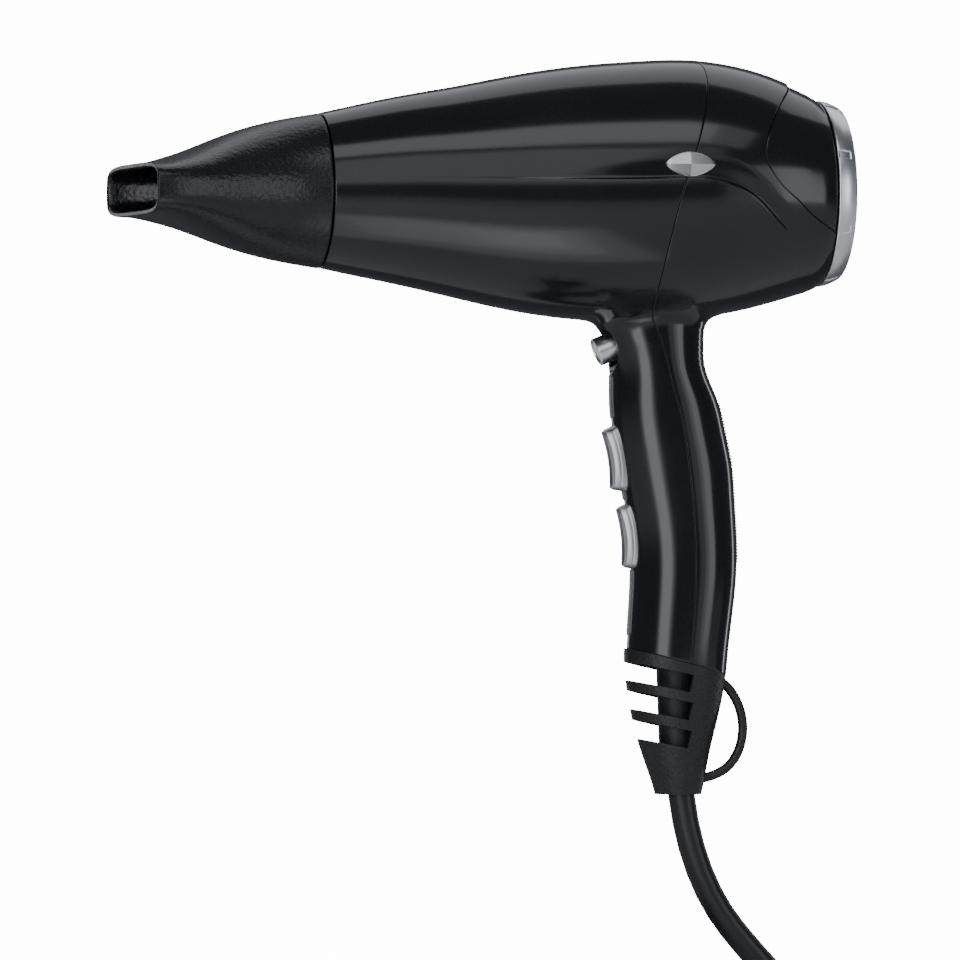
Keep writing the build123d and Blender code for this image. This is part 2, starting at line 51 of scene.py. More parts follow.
# ---------------------------------------------------------------- camera
TURN = math.radians(13.0)
DISTANCE = 3.2        # camera to target, m
VIEW_WIDTH = 0.28235  # width seen at the target, m
target = Vector((-54.5 * MM, 12.6 * MM, 3.6 * MM))
look = Vector((math.sin(TURN), math.cos(TURN), 0.0))
camera_data = bpy.data.cameras.new("camera")
camera = bpy.data.objects.new("camera", camera_data)
bpy.context.collection.objects.link(camera)
camera.location = target - look * DISTANCE
camera.rotation_euler = look.to_track_quat("-Z", "Y").to_euler()
camera_data.sensor_width = 36.0
camera_data.lens = 36.0 * DISTANCE / VIEW_WIDTH
camera_data.clip_end = 20.0
bpy.context.scene.camera = camera

# ---------------------------------------------------------------- mains cord
CORD_R = 3.95        # cord radius, mm
REST = -250.5        # height of the coil's middle layer
RING = 45.9          # mean radius of the coil
TURNS = 5.5
cord_points = [
    (2.4, 0.0, -160.0),
    (2.4, 0.0, -197.0),
    (35.83, 0.0, -236.83),
    (62.83, 22.5, REST),
    (62.83, 48.0, REST),
]
ring_x = 17.83
ring_y = 82.5
slots = [(4.0, -6.7), (-4.0, -6.7), (-7.9, 0.0), (-4.0, 6.7), (4.0, 6.7), (7.9, 0.0)]
per_turn = 16
steps = int(TURNS * per_turn)
for i in range(steps + 1):
    turn = i / per_turn
    k = min(int(turn), 5)
    share = turn - k
    a = slots[k]
    b = slots[min(k + 1, 5)]
    mix = max(0.0, (share - 0.7) / 0.3)
    mix = mix * mix * (3 - 2 * mix)
    out = a[0] + (b[0] - a[0]) * mix
    up = a[1] + (b[1] - a[1]) * mix
    angle = 2 * math.pi * turn
    cord_points.append((ring_x + (RING + out) * math.cos(angle),
                        ring_y + (RING + out) * math.sin(angle), REST + up))
cord_points.append((-33.0, 66.0, REST))
cord_points.append((-28.0, 52.0, REST))
cord_points.append((-27.17, 42.0, REST))
cord_points.append((-27.17, 36.0, REST))

curve = bpy.data.curves.new("mains_cord", "CURVE")
curve.dimensions = "3D"
spline = curve.splines.new("NURBS")
spline.points.add(len(cord_points) - 1)
for point, spot in zip(spline.points, cord_points):
    point.co = (*row(*spot), 1.0)
spline.order_u = 3
spline.use_endpoint_u = True
spline.resolution_u = 8
curve.bevel_depth = CORD_R * MM
curve.bevel_resolution = 8
curve.use_fill_caps = True
mains_cord = bpy.data.objects.new("mains_cord", curve)
bpy.context.collection.objects.link(mains_cord)


# ---------------------------------------------------------------- materials
def new_material(name):
    material = bpy.data.materials.new(name)
    material.use_nodes = True
    shader = material.node_tree.nodes["Principled BSDF"]
    return material, material.node_tree, shader


def add(tree, kind, **values):
    made = tree.nodes.new(kind)
    for key, value in values.items():
        if key in made.inputs:
            made.inputs[key].default_value = value
        else:
            setattr(made, key, value)
    return made


def noise(tree, scale, detail=2.0):
    place = add(tree, "ShaderNodeTexCoord")
    texture = add(tree, "ShaderNodeTexNoise")
    texture.inputs["Scale"].default_value = scale
    texture.inputs["Detail"].default_value = detail
    tree.links.new(place.outputs["Object"], texture.inputs["Vector"])
    return texture


def bump(tree, shader, height, strength, distance):
    made = add(tree, "ShaderNodeBump")
    made.inputs["Strength"].default_value = strength
    made.inputs["Distance"].default_value = distance
    tree.links.new(height, made.inputs["Height"])
    tree.links.new(made.outputs["Normal"], shader.inputs["Normal"])
    return made


def ramp(tree, source, low, high, first, second):
    made = add(tree, "ShaderNodeValToRGB")
    made.color_ramp.elements[0].position = low
    made.color_ramp.elements[1].position = high
    made.color_ramp.elements[0].color = first
    made.color_ramp.elements[1].color = second
    tree.links.new(source, made.inputs["Fac"])
    return made


def spread(tree, source, low, high):
    """Roughness between two values, following a texture."""
    made = add(tree, "ShaderNodeMapRange")
    made.inputs["To Min"].default_value = low
    made.inputs["To Max"].default_value = high
    tree.links.new(source, made.inputs["Value"])
    return made.outputs["Result"]


def plastic(name, colour, rough, grain=0.0, size=900.0, depth=0.00004, coat=0.0, rough_span=0.03):
    material, tree, shader = new_material(name)
    cloud = noise(tree, 35.0, 3.0)
    dark = tuple(c * 0.85 for c in colour) + (1.0,)
    light = tuple(c * 1.15 for c in colour) + (1.0,)
    tone = ramp(tree, cloud.outputs["Fac"], 0.3, 0.7, dark, light)
    tree.links.new(tone.outputs["Color"], shader.inputs["Base Color"])
    tree.links.new(spread(tree, cloud.outputs["Fac"], rough - rough_span, rough + rough_span),
                   shader.inputs["Roughness"])
    shader.inputs["Coat Weight"].default_value = coat
    shader.inputs["Coat Roughness"].default_value = 0.08
    if grain > 0:
        fine = noise(tree, size, 2.0)
        bump(tree, shader, fine.outputs["Fac"], grain, depth)
    return material


def metal(name, colour, rough, grain=0.15, size=2500.0):
    material, tree, shader = new_material(name)
    cloud = noise(tree, 60.0, 2.0)
    dark = tuple(c * 0.92 for c in colour) + (1.0,)
    light = tuple(min(1.0, c * 1.06) for c in colour) + (1.0,)
    tone = ramp(tree, cloud.outputs["Fac"], 0.3, 0.7, dark, light)
    tree.links.new(tone.outputs["Color"], shader.inputs["Base Color"])
    shader.inputs["Metallic"].default_value = 1.0
    tree.links.new(spread(tree, cloud.outputs["Fac"], rough - 0.04, rough + 0.04),
                   shader.inputs["Roughness"])
    fine = noise(tree, size, 2.0)
    bump(tree, shader, fine.outputs["Fac"], grain, 0.00002)
    return material


gloss_black = plastic("gloss_black", (0.009, 0.009, 0.011), 0.15, coat=0.3, rough_span=0.02)
satin_black = plastic("satin_black", (0.010, 0.010, 0.011), 0.26, grain=0.8, size=850.0,
                      depth=0.00022)
matte_black = plastic("matte_black", (0.014, 0.014, 0.015), 0.42, grain=0.85, size=900.0,
                      depth=0.0003)
panel_grey = plastic("panel_grey", (0.14, 0.142, 0.15), 0.30, grain=0.2, size=1500.0)
cord_black = plastic("cord_black", (0.013, 0.013, 0.014), 0.34, grain=0.2, size=700.0)
soft_black = plastic("soft_black", (0.02, 0.02, 0.021), 0.48, grain=0.4, size=1400.0,
                     depth=0.00008)
dark_inside = plastic("dark_inside", (0.02, 0.02, 0.021), 0.6, grain=0.2)
switch_grey = plastic("switch_grey", (0.10, 0.10, 0.11), 0.5, grain=0.2)
mica = plastic("mica", (0.55, 0.48, 0.34), 0.35, grain=0.4, size=220.0)
wire_white = plastic("wire_white", (0.62, 0.60, 0.55), 0.4, grain=0.1)
board_green = plastic("board_green", (0.03, 0.16, 0.07), 0.4, grain=0.2)
magnet_dark = plastic("magnet_dark", (0.05, 0.05, 0.052), 0.6, grain=0.4)
silver = metal("silver", (0.56, 0.565, 0.58), 0.36)
badge_silver = metal("badge_silver", (0.66, 0.665, 0.68), 0.3)


def painted_facet_shading(material, centre_x, centre_z):
    """Alternate quarters of the badge are painted a darker silver: painted shade and highlight
    standing in for how the four facets catch the light.
    """
    tree = material.node_tree
    shader = tree.nodes["Principled BSDF"]
    where = add(tree, "ShaderNodeTexCoord")
    parts = add(tree, "ShaderNodeSeparateXYZ")
    tree.links.new(where.outputs["Object"], parts.inputs[0])
    shifted = []
    for axis, centre in (("X", centre_x), ("Z", centre_z)):
        step = add(tree, "ShaderNodeMath", operation="SUBTRACT")
        tree.links.new(parts.outputs[axis], step.inputs[0])
        step.inputs[1].default_value = centre
        shifted.append(step)
    product = add(tree, "ShaderNodeMath", operation="MULTIPLY")
    tree.links.new(shifted[0].outputs[0], product.inputs[0])
    tree.links.new(shifted[1].outputs[0], product.inputs[1])
    sign = add(tree, "ShaderNodeMath", operation="GREATER_THAN")
    tree.links.new(product.outputs[0], sign.inputs[0])
    sign.inputs[1].default_value = 0.0
    # painted shade: a light and a dark silver on alternate facets stand in for the light and shade
    # the facets would take
    tone = ramp(tree, sign.outputs[0], 0.4, 0.6, (0.74, 0.745, 0.76, 1.0), (0.36, 0.365, 0.38, 1.0))
    tree.links.new(tone.outputs["Color"], shader.inputs["Base Color"])


# the badge's facets get painted shade and highlight, not their own colour
painted_facet_shading(badge_silver, -0.0031, (7.5 + LIFT) * MM)
ring_silver = metal("ring_silver", (0.92, 0.93, 0.95), 0.3)
steel = metal("steel", (0.55, 0.55, 0.57), 0.28)
grille_steel = metal("grille_steel", (0.30, 0.30, 0.31), 0.45)
copper = metal("copper", (0.55, 0.30, 0.16), 0.4)
pin_metal = metal("pin_metal", (0.74, 0.73, 0.70), 0.22)


# ---------------------------------------------------------------- mesh helpers
def smooth_curve(keys, values):
    """Natural cubic spline through the stations."""
    keys = np.array(keys, float)
    values = np.array(values, float)
    flip = keys[0] > keys[-1]
    if flip:
        keys = keys[::-1]
        values = values[::-1]
    n = len(keys)
    h = np.diff(keys)
    matrix = np.zeros((n, n))
    right = np.zeros(n)
    matrix[0, 0] = 1
    matrix[-1, -1] = 1
    for i in range(1, n - 1):
        matrix[i, i - 1] = h[i - 1]
        matrix[i, i] = 2 * (h[i - 1] + h[i])
        matrix[i, i + 1] = h[i]
        right[i] = 6 * ((values[i + 1] - values[i]) / h[i] - (values[i] - values[i - 1]) / h[i - 1])
    bend = np.linalg.solve(matrix, right)

    def at(x):
        x = np.clip(np.asarray(x, float), keys[0], keys[-1])
        i = np.clip(np.searchsorted(keys, x) - 1, 0, n - 2)
        a = (keys[i + 1] - x) / h[i]
        b = (x - keys[i]) / h[i]
        return (a * values[i] + b * values[i + 1]
                + ((a ** 3 - a) * bend[i] + (b ** 3 - b) * bend[i + 1]) * h[i] ** 2 / 6)
    return at


def grid_faces(rows, columns, closed, start=0):
    faces = []
    last = columns if closed else columns - 1
    for r in range(rows - 1):
        for c in range(last):
            d = (c + 1) % columns
            faces.append((start + r * columns + c, start + r * columns + d,
                          start + (r + 1) * columns + d, start + (r + 1) * columns + c))
    return faces


def make_object(name, grids, material, body, replaced=()):
    """grids: list of (points array rows x columns x 3 in design mm, closed)."""
    vertices = []
    faces = []
    for points, closed in grids:
        start = len(vertices)
        rows, columns = points.shape[:2]
        flat = points.reshape(-1, 3)
        vertices.extend(row(*p) for p in flat)
        faces.extend(grid_faces(rows, columns, closed, start))
    mesh = bpy.data.meshes.new(name)
    mesh.from_pydata(vertices, [], faces)
    mesh.update()
    mesh.polygons.foreach_set("use_smooth", [True] * len(mesh.polygons))
    made = bpy.data.objects.new(name, mesh)
    bpy.context.collection.objects.link(made)
    finish_piece(made, material, body, replaced)
    return made


def finish_piece(made, material, body, replaced=()):
    made.data.materials.clear()
    made.data.materials.append(material)
    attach(made, body)
    if replaced:
        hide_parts(*replaced)


def normals(points):
    """Unit normals of a grid; the sign follows rows x columns."""
    along = np.gradient(points, axis=1)
    down = np.gradient(points, axis=0)
    cross = np.cross(down, along)
    length = np.linalg.norm(cross, axis=2, keepdims=True)
    return cross / np.maximum(length, 1e-9)


def copy_node(name, material, body, bevel):
    """A smoother copy of a CAD node, with bevelled edges."""
    source = node[name]
    mesh = source.data.copy()
    made = bpy.data.objects.new(name + "_look", mesh)
    bpy.context.collection.objects.link(made)
    shape = bmesh.new()
    shape.from_mesh(mesh)
    bmesh.ops.remove_doubles(shape, verts=shape.verts, dist=2e-6)
    bmesh.ops.dissolve_limit(shape, angle_limit=math.radians(0.6), verts=shape.verts,
                             edges=shape.edges)
    shape.to_mesh(mesh)
    shape.free()
    for polygon in mesh.polygons:
        polygon.use_smooth = True
    if bevel > 0:
        modifier = made.modifiers.new("bevel", "BEVEL")
        modifier.width = bevel * MM
        modifier.segments = 2
        modifier.limit_method = "ANGLE"
        modifier.angle_limit = math.radians(40)
        modifier.harden_normals = False
    finish_piece(made, material, body, (name,))
    mesh.set_sharp_from_angle(angle=math.radians(32))
    return made


# ---------------------------------------------------------------- body shape
BARREL = [
    (-105.7, 22.8, -22.6), (-94.0, 25.4, -25.0), (-82.0, 27.9, -27.4), (-66.7, 30.6, -30.8),
    (-47.0, 34.4, -35.0), (-28.0, 37.2, -37.4), (-10.0, 38.7, -37.9), (5.0, 39.1, -37.1),
    (18.4, 37.5, -35.1), (31.1, 33.9, -32.0), (38.0, 31.0, -30.0), (41.5, 29.3, -28.8),
    (44.0, 27.7, -27.5),
]
GRIP = [
    (-44.0, -5.2, 15.0, 14.0), (-52.0, -3.9, 14.3, 13.9), (-60.0, -2.2, 15.8, 13.9),
    (-70.0, -0.5, 16.7, 14.0), (-80.0, 1.3, 16.9, 14.0), (-90.0, 2.6, 16.4, 14.0),
    (-100.0, 3.7, 15.9, 14.0), (-112.0, 4.0, 15.7, 14.0), (-124.0, 3.1, 15.4, 13.9),
    (-134.0, 2.2, 15.1, 13.8), (-144.0, 1.5, 14.9, 13.5),
]
SEAM = [
    (7.0, 42.0), (6.6, 36.0), (4.8, 29.0), (2.3, 21.5), (-1.0, 12.0), (-4.5, 2.9),
    (-7.5, -8.2), (-9.6, -23.0), (-9.8, -31.0), (-8.4, -38.0), (-6.6, -42.0),
    (-4.7, -48.0), (-2.9, -55.3), (0.2, -66.0), (2.2, -79.0), (3.2, -87.0),
    (4.0, -98.0), (4.3, -112.0), (4.0, -123.0), (3.4, -134.0), (2.8, -146.0),
]
CAP = [
    (34.4, 38.0), (34.1, 32.6), (29.5, 28.0), (25.1, 23.0), (21.2, 15.5), (20.3, 10.5),
    (22.4, 5.0), (26.0, 0.8), (30.2, -2.6), (36.0, -7.5), (42.6, -11.5), (46.0, -13.4),
]
barrel_top = smooth_curve([p[0] for p in BARREL], [p[1] for p in BARREL])
barrel_low = smooth_curve([p[0] for p in BARREL], [p[2] for p in BARREL])
grip_mid = smooth_curve([p[0] for p in GRIP], [p[1] for p in GRIP])
grip_deep = smooth_curve([p[0] for p in GRIP], [p[2] for p in GRIP])
grip_wide = smooth_curve([p[0] for p in GRIP], [p[3] for p in GRIP])
seam_x = smooth_curve([p[1] for p in SEAM], [p[0] for p in SEAM])
cap_x = smooth_curve([p[1] for p in CAP], [p[0] for p in CAP])

# side channel: lower crease, upper edge, depth, along x
crease_low = smooth_curve([-110, -60, -10, 3.3, 10, 16.6, 23.3, 29.6, 36],
                          [2.9, 2.9, 3.1, 2.9, 1.2, -2.1, -8.2, -13.8, -18])
crease_top = smooth_curve([-110, -60, -10, 3.3, 10, 16.6, 23.3, 29.6, 36],
                          [13.0, 12.5, 11.6, 11.3, 10.0, 6.2, 1.2, -7.0, -15])
crease_deep = smooth_curve([-110, -80, -50, -30, -12, 4, 14, 22, 29, 34],
                           [0.12, 0.18, 0.32, 0.75, 1.25, 1.3, 1.2, 0.8, 0.25, 0.0])


def soft(t):
    t = np.clip(t, 0, 1)
    return t * t * (3 - 2 * t)


def channel(x, z):
    """How far the side channel sinks at a place on the barrel."""
    low = crease_low(x)
    top = crease_top(x)
    deep = np.where(x > 34, 0.0, crease_deep(x))
    fall = soft((top - z) / np.maximum(top - low, 0.5))
    sharp = soft((z - low) / 1.0)
    return deep * fall * sharp


def barrel_point(x, angle, inset=0.0):
    top = barrel_top(x)
    low = barrel_low(x)
    radius = (top - low) / 2
    middle = (top + low) / 2
    sink = channel(x, middle + radius * np.sin(angle))
    side = np.abs(np.cos(angle)) > 0.25
    r = radius - inset - np.where(side, sink, 0.0)
    return np.stack([x + 0 * angle, r * np.cos(angle), middle + r * np.sin(angle)], -1)


def edge_x(edge, angle, guess):
    """Where a side-view line crosses the barrel at each angle."""
    x = np.full_like(angle, guess)
    for _ in range(60):
        top = barrel_top(x)
        low = barrel_low(x)
        z = (top + low) / 2 + (top - low) / 2 * np.sin(angle)
        x = 0.5 * x + 0.5 * edge(z)
    return x


COLUMNS = 600
angles = np.linspace(0, 2 * math.pi, COLUMNS, endpoint=False)
seam_at = edge_x(seam_x, angles, 0.0)
cap_at = np.minimum(edge_x(cap_x, angles, 30.0), 44.0)
sine = np.sin(angles)
cap_at = np.where(sine < -0.45, 44.0, cap_at)

# how far along and how deep each line of a rolled edge lies
ROLL = [(0.0, 1.4), (0.0, 0.32), (0.04, 0.13), (0.12, 0.03), (0.26, 0.0)]


def band(x_start, x_end, rows, inset=0.0, gap=0.09):
    """Barrel grid between two edges, each rolled inward."""
    lines = [(x_start + gap + along, deep + inset) for along, deep in ROLL]
    first = x_start + gap + 0.6
    last = x_end - gap - 0.6
    for i in range(rows + 1):
        t = i / rows
        lines.append((first + (last - first) * t, inset))
    for along, deep in reversed(ROLL):
        lines.append((x_end - gap - along, deep + inset))
    return np.stack([barrel_point(x, angles, deep) for x, deep in lines], 0)


front_x = np.full_like(angles, -105.7)
rear_x = np.full_like(angles, 44.0)


# ---------------------------------------------------------------- handle
def foot_height(x):
    return -137.5 - math.tan(math.radians(15.0)) * x


FINE = 1441
phi = np.linspace(0, math.pi, FINE)      # 0 is the back, pi the front, on the +Y side


def grip_ring(z):
    return np.stack([grip_mid(z) + grip_deep(z) * np.cos(phi),
                     grip_wide(z) * np.sin(phi), z + 0 * phi], -1)


def handle_rows():
    """Half rings of the handle from the foot up to the barrel, on the +Y side."""
    low = np.full_like(phi, -138.0)
    for _ in range(20):
        low = foot_height(grip_mid(low) + grip_deep(low) * np.cos(phi))
    high = -45.0
    step = -57.0
    rows = []
    for i in range(171):
        rows.append(grip_ring(low + (step - low) * (i / 170)))
    for i in range(1, 61):
        rows.append(grip_ring(step + (high - step) * (i / 60) + 0 * phi))
    top = rows[-1]
    rise = rows[-1] - rows[-2]
    rise = rise / np.linalg.norm(rise, axis=1, keepdims=True)
    middle = -6.4       # x of the middle of the oval where the neck meets the barrel
    reach_x = middle + 24.0 * np.cos(phi)
    reach_y = 20.5 * np.sin(phi)

    def on_barrel(x, y, inset):
        up = barrel_top(x)
        down = barrel_low(x)
        radius = (up - down) / 2 - inset
        return np.stack([x, y, (up + down) / 2 - np.sqrt(radius ** 2 - y ** 2)], -1)

    land = on_barrel(reach_x, reach_y, 0.03)
    inner = on_barrel(middle + 23.0 * np.cos(phi), 19.6 * np.sin(phi), 0.03)
    inward = inner - land
    inward = inward / np.linalg.norm(inward, axis=1, keepdims=True)
    gap = np.linalg.norm(land - top, axis=1, keepdims=True)
    p1 = top + rise * gap * 0.55
    p2 = land + inward * gap * 0.62
    for i in range(1, 81):
        t = i / 80
        rows.append((1 - t) ** 3 * top + 3 * (1 - t) ** 2 * t * p1
                    + 3 * (1 - t) * t ** 2 * p2 + t ** 3 * land)
    return np.stack(rows, 0)


RIB_PITCH = 1.65
RIB_DEEP = 0.11


def back_ribs(points):
    """Fine level ribs at the back of the handle's top."""
    z = points[..., 2]
    wave = 0.5 - 0.5 * np.cos((z + 39.6) * 2 * math.pi / RIB_PITCH)
    mask = soft((z + 52.4) / 1.2) * soft((-39.4 - z) / 0.5)
    mask = mask * soft((math.radians(54.0) - phi[None, :]) / 0.5)
    facing = normals(points)
    centre = points[:, -1:] * 0.5 + points[:, :1] * 0.5
    sign = np.sign(np.sum(facing * (points - centre), axis=2, keepdims=True))
    return points - facing * sign * (wave * mask * RIB_DEEP)[..., None]


POCKET_AT = [-22.4, 0.0, -47.0]
POCKET_R = 7.2
POCKET_DEEP = 4.6


def button_pocket(points):
    """A dished recess round the cold shot button."""
    lean = math.radians(22.0)
    axis = np.array([math.cos(lean), 0.0, math.sin(lean)])
    away = points - np.array(POCKET_AT)
    depth = np.sum(away * axis, axis=2, keepdims=True)
    radius = np.linalg.norm(away - depth * axis, axis=2, keepdims=True)
    push = POCKET_DEEP * soft((POCKET_R - radius) / 1.6) * (depth > -8) * (depth < 16)
    return points + axis * push


half_rows = button_pocket(back_ribs(handle_rows()))


def cut_columns(line, edge_share, count, front):
    """Resample one half ring between the parting line and the front or back."""
    start = edge_share
    end = 1.0 if front else 0.0
    spread_list = [0.0, 0.0, 0.0008, 0.0025, 0.006, 0.012]
    shares = [start + (end - start) * s for s in spread_list]
    shares += list(start + (end - start) * np.linspace(0.03, 1.0, count))
    places = np.array(shares) * (FINE - 1)
    index = np.clip(places.astype(int), 0, FINE - 2)
    part = (places - index)[:, None]
    return line[index] * (1 - part) + line[index + 1] * part


def handle_half(front, count=100):
    rows = []
    for line in half_rows:
        gap = line[:, 0] - seam_x(line[:, 2])
        crossing = np.where((gap[:-1] > 0) & (gap[1:] <= 0))[0]
        i = crossing[0]
        share = (i + gap[i] / (gap[i] - gap[i + 1])) / (FINE - 1)
        shift = 0.0013 if front else -0.0013
        rows.append(cut_columns(line, share + shift, count, front))
    return np.stack(rows, 0)


# how deep the first columns beside the parting line sink
SINK = [1.2, 0.3, 0.1, 0.03, 0.008, 0.0]


def sink_edge(points):
    """Roll the parting-line edge of a half ring inward."""
    facing = normals(points)
    centre = np.zeros_like(points)
    centre[..., 0] = points[..., 0].mean(axis=1, keepdims=True)
    centre[..., 2] = points[..., 2]
    outward = np.sum(facing * (points - centre), axis=2, keepdims=True)
    facing = np.where(outward < 0, -facing, facing)
    facing[:, 0] = facing[:, 6]
    facing[:, 1] = facing[:, 6]
    moved = points.copy()
    for column, deep in enumerate(SINK):
        moved[:, column] -= facing[:, column] * deep
    return moved


def mirror_join(half):
    """A half grid and its mirror image as one strip."""
    other = half[:, ::-1].copy()
    other[..., 1] *= -1
    return np.concatenate([half, other[:, 1:]], axis=1)


def foot_roll(strip):
    """Close the foot of the handle with a rolled edge."""
    first = strip[0]
    centre = first.mean(axis=0)
    rows = []
    for share, lift in ((0.88, 0.0), (0.975, 0.0), (0.993, 0.08), (1.0, 0.35)):
        ring = centre + (first - centre) * share
        ring = ring.copy()
        ring[:, 2] += lift
        rows.append(ring)
    return np.concatenate([np.stack(rows, 0), strip[1:]], axis=0)


# ---------------------------------------------------------------- shells
handle_front = foot_roll(mirror_join(sink_edge(handle_half(True))))
handle_back = foot_roll(mirror_join(sink_edge(handle_half(False))))

barrel_front = band(front_x, seam_at, 200, gap=0.05)
barrel_back = band(seam_at, cap_at, 90, gap=0.05)
cap_grid = band(np.minimum(cap_at, 43.2), rear_x, 60, inset=0.7)

make_object("front_shell", [(barrel_front, True), (handle_front, False)],
            gloss_black, "housing", ("front_housing",))
make_object("rear_shell", [(barrel_back, True), (handle_back, False)],
            gloss_black, "housing", ("rear_housing",))
upper = np.where(sine > -0.45)[0]
order = np.concatenate([upper[upper > 0.8 * COLUMNS], upper[upper <= 0.8 * COLUMNS]])
make_object("cap_shell", [(cap_grid[:, order], False)],
            gloss_black, "housing", ("rear_cap",))

# ---------------------------------------------------------------- nozzle
NOZZLE = [
    (-106.0, 22.7, 22.7, 2.0), (-113.5, 23.6, 21.5, 2.05), (-124.0, 26.6, 19.3, 2.2),
    (-134.9, 30.6, 15.8, 2.5), (-145.8, 35.0, 11.3, 3.0), (-152.0, 37.2, 9.2, 3.6),
    (-156.7, 38.4, 8.0, 4.2), (-161.3, 39.0, 7.6, 4.8),
]
nozzle_w = smooth_curve([p[0] for p in NOZZLE], [p[1] for p in NOZZLE])
nozzle_h = smooth_curve([p[0] for p in NOZZLE], [p[2] for p in NOZZLE])
nozzle_n = smooth_curve([p[0] for p in NOZZLE], [p[3] for p in NOZZLE])


def nozzle_row(x, inset, at=None):
    at = x if at is None else at
    w = nozzle_w(at) - inset
    h = nozzle_h(at) - inset
    n = nozzle_n(at)
    t = np.linspace(0, 2 * math.pi, 360, endpoint=False)
    c = np.cos(t)
    s = np.sin(t)
    y = w * np.sign(c) * np.abs(c) ** (2 / n)
    z = h * np.sign(s) * np.abs(s) ** (2 / n)
    return np.stack([x + 0 * t, y, z], -1)


# x and radius of the collar that goes into the snap ring
SPIGOT = [(-108.2, 17.2), (-95.6, 17.2), (-95.5, 17.3), (-95.5, 18.45), (-95.6, 18.55),
          (-106.05, 18.55)]
BACK_X, BACK_R = NOZZLE[0][:2]
nozzle_rows = [nozzle_row(x, BACK_R - r, BACK_X) for x, r in SPIGOT]
nozzle_rows += [nozzle_row(-106.05, 2.5, BACK_X), nozzle_row(-106.05, 0.45, BACK_X),
               nozzle_row(-106.15, 0.18, -106.1), nozzle_row(-106.4, 0.0)]
for i in range(111):
    nozzle_rows.append(nozzle_row(-106.8 - 53.7 * i / 110, 0.0))
nozzle_rows += [nozzle_row(-160.9, 0.04), nozzle_row(-161.15, 0.16), nozzle_row(-161.28, 0.4),
                nozzle_row(-161.28, 0.9), nozzle_row(-161.1, 1.2), nozzle_row(-160.7, 1.4)]
for i in range(61):
    nozzle_rows.append(nozzle_row(-160.2 + 52.0 * i / 60, 1.5))
nozzle_rows.append(nozzle_row(SPIGOT[0][0], BACK_R - SPIGOT[0][1], BACK_X))
nozzle_grid = np.stack(nozzle_rows, 0)
make_object("nozzle_look", [(nozzle_grid, True)], satin_black, "nozzle",
            ("nozzle_shell",))


# ---------------------------------------------------------------- rockers
def stadium(count, half_width, half_height, inset):
    """Rounded outline of a rocker, across and along it."""
    w = half_width - inset
    h = half_height - inset
    t = np.linspace(0, 2 * math.pi, count, endpoint=False)
    c = np.cos(t)
    n = np.sin(t)
    across = w * np.sign(c) * np.abs(c) ** 0.55
    along = h * np.sign(n) * np.abs(n) ** 0.8
    return across, along


def rocker_look(body, pivot, lean):
    """A dished pill on the body and CAD node of the same name; levels are inset and drop."""
    turn = math.radians(lean)
    levels = [(0.0, 7.0), (0.0, 2.75), (0.06, 2.35), (0.2, 2.1), (0.45, 1.6), (0.95, 0.5),
              (1.1, 0.16), (1.3, 0.0), (1.5, 0.0), (1.7, 0.06), (1.95, 0.3), (2.3, 0.5),
              (2.7, 0.62), (3.3, 0.66), (4.0, 0.66), (4.6, 0.66)]
    arc_r = 13.2        # outline of the whole rocker about its pivot
    face_out = 9.4      # least distance of the dished face from the pivot
    rows = []
    for inset, drop in levels:
        across, along = stadium(120, 4.8, 10.15, inset)
        arc = np.sqrt(np.maximum(arc_r ** 2 - along ** 2, 0.0))
        face = face_out + 0.85 * (along / 7.86) ** 2
        u = np.minimum(face, arc) - drop - 0.02 * across ** 2 * (drop < 2.0)
        x = pivot[0] - u * math.cos(turn) + along * math.sin(turn)
        z = pivot[1] + u * math.sin(turn) + along * math.cos(turn)
        rows.append(np.stack([x, across, z], -1))
    make_object(body + "_look", [(np.stack(rows, 0), True)], silver, body,
                (body,))


rocker_look("speed_rocker", (-9.0, -77.0), -9.0)
rocker_look("heat_rocker", (-5.0, -100.2), -6.0)


# ---------------------------------------------------------------- rear ring
def ring_look():
    profile = [(44.35, 24.7, 0), (44.35, 27.1, 0), (44.42, 27.3, 0), (44.6, 27.42, 0)]
    for i in range(23):
        t = i / 22
        bow = 0.28 * math.sin(math.pi * t)
        profile.append((44.8 + 4.75 * t, 27.46 - 1.62 * t + bow, 1))
    profile += [(49.8, 25.72, 0), (50.1, 25.5, 0), (50.3, 25.2, 0), (50.38, 24.9, 0),
                (50.38, 23.3, 0), (50.2, 22.9, 0), (49.8, 22.7, 0), (47.3, 22.65, 0)]
    turn = np.linspace(0, 2 * math.pi, 1440, endpoint=False)
    notch = np.zeros_like(turn)
    edge_r = 27.0       # radius at which the notch width is measured
    for centre in (24, 68, 112, 156, 204, 248, 292, 336):
        off = (turn - math.radians(centre) + math.pi) % (2 * math.pi) - math.pi
        away = np.abs(off) * edge_r
        notch = np.maximum(notch, soft((1.25 - away) / 0.16 + 0.5))
    rows = []
    for x, r, cut in profile:
        deep = 0.32 * notch if cut and x < 48.6 else 0 * notch
        rows.append(np.stack([x + 0 * turn, (r - deep) * np.cos(turn),
                              (r - deep) * np.sin(turn)], -1))
    make_object("inlet_ring_look", [(np.stack(rows, 0), True)], ring_silver, "inlet",
                ("inlet_ring",))


ring_look()


